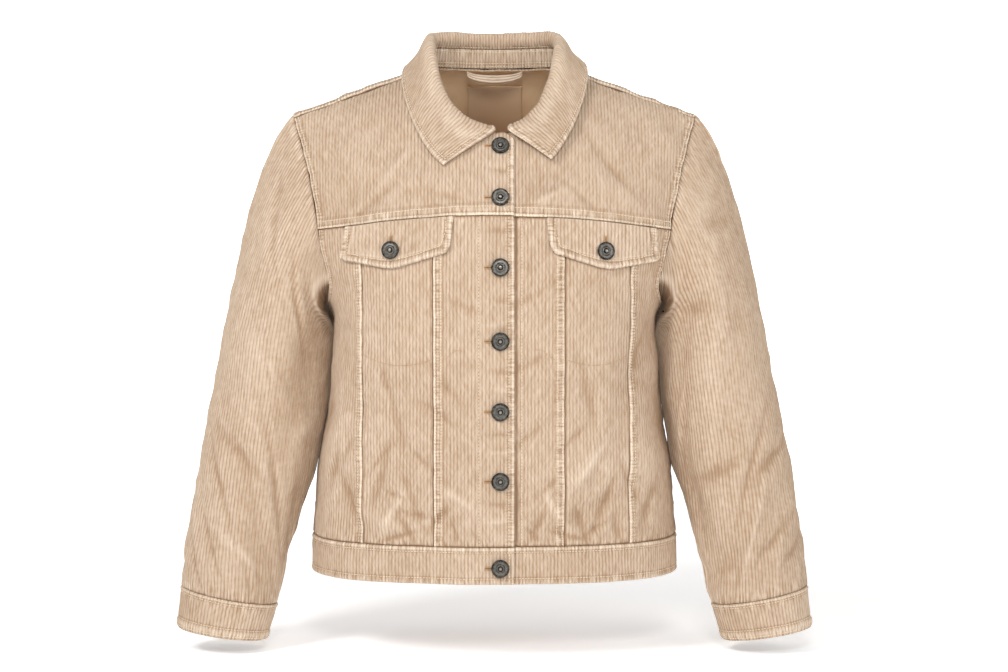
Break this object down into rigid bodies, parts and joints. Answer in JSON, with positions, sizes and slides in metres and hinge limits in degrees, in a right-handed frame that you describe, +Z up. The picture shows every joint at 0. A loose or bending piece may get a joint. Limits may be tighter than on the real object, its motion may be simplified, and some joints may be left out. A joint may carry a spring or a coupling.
{
  "type": "corduroy trucker jacket",
  "caption": "Waist-length corduroy trucker jacket, buttoned and filled out on an unseen wearer: turned-down collar, yoke, flapped chest pockets, long seams, cuffs and waistband.",
  "frame": {"origin": "middle of the line between the two points where the shoulders meet the neck seam, where a wearer's neck holds the jacket up", "axes": "+Z up; -Y the way the jacket's front faces; +X towards the wearer's left"},
  "size_m": [0.6632, 0.2356, 0.6338],
  "materials": {
    "corduroy": "matt cotton corduroy, warm sand beige, with raised ribs about 3.6 mm apart that run down the body",
    "label_satin": "smooth woven patch, left bare",
    "gunmetal": "pressed metal shank buttons with a worn dark plating"
  },
  "bodies": {
    "root": {"front_yoke_right": "corduroy", "front_centre_right": "corduroy", "front_middle_right": "corduroy", "front_side_right": "corduroy", "sleeve_right": "corduroy", "cuff_right": "corduroy", "pocket_flap_right": "corduroy", "front_yoke_left": "corduroy", "front_centre_left": "corduroy", "front_middle_left": "corduroy", "front_side_left": "corduroy", "sleeve_left": "corduroy", "cuff_left": "corduroy", "pocket_flap_left": "corduroy", "back": "corduroy", "waistband": "corduroy", "collar_stand": "corduroy", "collar_leaf": "corduroy", "button_front_1": "gunmetal", "button_front_2": "gunmetal", "button_front_3": "gunmetal", "button_front_4": "gunmetal", "button_front_5": "gunmetal", "button_front_6": "gunmetal", "button_front_7": "gunmetal", "button_pocket_right": "gunmetal", "button_pocket_left": "gunmetal", "hanger_loop": "corduroy", "label_patch": "label_satin"}
  },
  "joints": []
}
